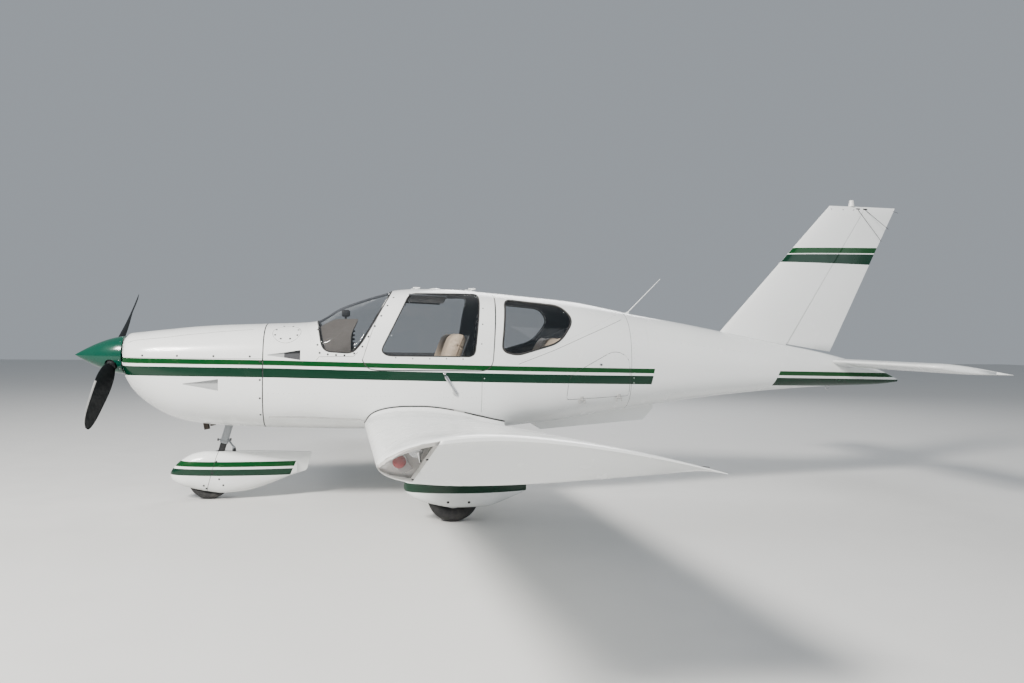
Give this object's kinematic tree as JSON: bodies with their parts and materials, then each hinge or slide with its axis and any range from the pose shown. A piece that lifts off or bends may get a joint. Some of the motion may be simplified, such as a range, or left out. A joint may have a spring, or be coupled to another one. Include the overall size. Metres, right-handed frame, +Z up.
{
  "type": "light aircraft",
  "caption": "Low-wing single-engine touring aircraft with a hollow cabin, upward-opening doors, hinged control surfaces and a fixed spatted tricycle undercarriage.",
  "frame": {"origin": "on the ground, below the middle of the length and span", "axes": "+X towards the tail, +Y to the starboard side, +Z up"},
  "size_m": [7.749, 9.753, 2.843],
  "materials": {
    "white_paint": "gloss white paint on thin sheet metal",
    "green_paint": "gloss green paint",
    "blade_paint": "satin black paint",
    "gear_steel": "satin grey paint",
    "engine_metal": "rough cast",
    "exhaust_metal": "heat stained",
    "tyre_rubber": "matt",
    "wheel_alloy": "satin",
    "cabin_glass": "clear acrylic with a light grey tint",
    "lamp_lens": "clear",
    "seat_leather": "tan leather",
    "panel_trim": "textured"
  },
  "bodies": {
    "airframe": {"fuselage_tub": "white_paint", "fuselage_side_left": "white_paint", "fuselage_side_right": "white_paint", "fuselage_aft": "white_paint", "fuselage_belly": "white_paint", "cabin_roof": "white_paint", "windscreen_left": "cabin_glass", "windscreen_right": "cabin_glass", "rear_window_left": "cabin_glass", "rear_window_right": "cabin_glass", "instrument_panel": "panel_trim", "front_seat_left": "seat_leather", "front_seat_right": "seat_leather", "rear_bench": "seat_leather", "cowl_upper": "white_paint", "cowl_lower": "white_paint", "engine_block": "engine_metal", "exhaust_pipes": "exhaust_metal", "wing_left": "white_paint", "wing_right": "white_paint", "wingtip_lens_left": "lamp_lens", "wingtip_lens_right": "lamp_lens", "tail_cone": "white_paint", "fin": "white_paint", "beacon": "lamp_lens", "whip_antenna": "white_paint", "belly_strip": "white_paint", "main_leg_left": "gear_steel", "main_leg_right": "gear_steel", "main_spat_left": "white_paint", "main_spat_right": "white_paint", "nose_strut": "gear_steel"},
    "propeller": {"spinner": "green_paint", "propeller_blades": "blade_paint"},
    "nose_leg": {"nose_fork": "gear_steel", "nose_spat": "white_paint"},
    "nose_wheel": {"nose_tyre": "tyre_rubber", "nose_rim": "wheel_alloy"},
    "main_wheel_left": {"main_left_tyre": "tyre_rubber", "main_left_rim": "wheel_alloy"},
    "main_wheel_right": {"main_right_tyre": "tyre_rubber", "main_right_rim": "wheel_alloy"},
    "rudder": {"rudder": "white_paint"},
    "stabilator": {"stabilator": "white_paint"},
    "stabilator_tab": {"stabilator_tab_left": "white_paint", "stabilator_tab_right": "white_paint"},
    "aileron_left": {"aileron_left": "white_paint"},
    "aileron_right": {"aileron_right": "white_paint"},
    "flap_left": {"flap_left": "white_paint"},
    "flap_right": {"flap_right": "white_paint"},
    "cabin_door_left": {"cabin_door_left": "white_paint", "door_window_left": "cabin_glass"},
    "cabin_door_right": {"cabin_door_right": "white_paint", "door_window_right": "cabin_glass"},
    "baggage_door": {"baggage_door": "white_paint"}
  },
  "joints": [
    {"name": "propeller_spin", "type": "hinge", "parent": "airframe", "child": "propeller", "pos_m": [-3.5565, 0, 1.246], "axis": [1, 0, 0], "continuous": true},
    {"name": "nose_steering", "type": "hinge", "parent": "airframe", "child": "nose_leg", "pos_m": [-2.6785, 0, 0.416], "axis": [0.27, 0, 0.9629], "range_deg": [-15, 15]},
    {"name": "nose_wheel_spin", "type": "hinge", "parent": "nose_leg", "child": "nose_wheel", "pos_m": [-2.7705, 0, 0.18], "axis": [0, 1, 0], "continuous": true},
    {"name": "main_wheel_spin_left", "type": "hinge", "parent": "airframe", "child": "main_wheel_left", "pos_m": [-0.7765, -1.165, 0.203], "axis": [0, 1, 0], "continuous": true},
    {"name": "main_wheel_spin_right", "type": "hinge", "parent": "airframe", "child": "main_wheel_right", "pos_m": [-0.7765, 1.165, 0.203], "axis": [0, 1, 0], "continuous": true},
    {"name": "rudder_hinge", "type": "hinge", "parent": "airframe", "child": "rudder", "pos_m": [2.6015, 0, 1.3], "axis": [0.5263, 0, 0.8503], "range_deg": [-25, 25]},
    {"name": "stabilator_pivot", "type": "hinge", "parent": "airframe", "child": "stabilator", "pos_m": [3.2655, 0, 1.212], "axis": [0, 1, 0], "range_deg": [-14, 8]},
    {"name": "stabilator_tab_hinge", "type": "hinge", "parent": "stabilator", "child": "stabilator_tab", "pos_m": [3.6778, 0, 1.17448], "axis": [0, 1, 0], "range_deg": [-11.2, 6.4]},
    {"name": "aileron_hinge_left", "type": "hinge", "parent": "airframe", "child": "aileron_left", "pos_m": [-0.5245, -3.84115, 0.9103], "axis": [0, 0.9974, -0.0715], "range_deg": [-20, 14]},
    {"name": "flap_hinge_left", "type": "hinge", "parent": "airframe", "child": "flap_left", "pos_m": [-0.5245, -1.87619, 0.76945], "axis": [0, 0.9974, -0.0715], "range_deg": [0, 25]},
    {"name": "cabin_door_hinge_left", "type": "hinge", "parent": "airframe", "child": "cabin_door_left", "pos_m": [-0.7545, -0.13, 1.866], "axis": [-1, 0, 0], "range_deg": [0, 75]},
    {"name": "aileron_hinge_right", "type": "hinge", "parent": "airframe", "child": "aileron_right", "pos_m": [-0.5245, 3.84115, 0.9103], "axis": [0, 0.9974, 0.0715], "range_deg": [-20, 14]},
    {"name": "flap_hinge_right", "type": "hinge", "parent": "airframe", "child": "flap_right", "pos_m": [-0.5245, 1.87619, 0.76945], "axis": [0, 0.9974, 0.0715], "range_deg": [0, 25]},
    {"name": "cabin_door_hinge_right", "type": "hinge", "parent": "airframe", "child": "cabin_door_right", "pos_m": [-0.7545, 0.13, 1.866], "axis": [1, 0, 0], "range_deg": [0, 75]},
    {"name": "baggage_door_hinge", "type": "hinge", "parent": "airframe", "child": "baggage_door", "pos_m": [0.5755, -0.5278, 0.894], "axis": [0.9805, 0.192, 0.0425], "range_deg": [0, 100]}
  ],
  "couplings": [
    {"joint": "stabilator_tab_hinge", "follows": "stabilator_pivot", "ratio": 0.8}
  ]
}
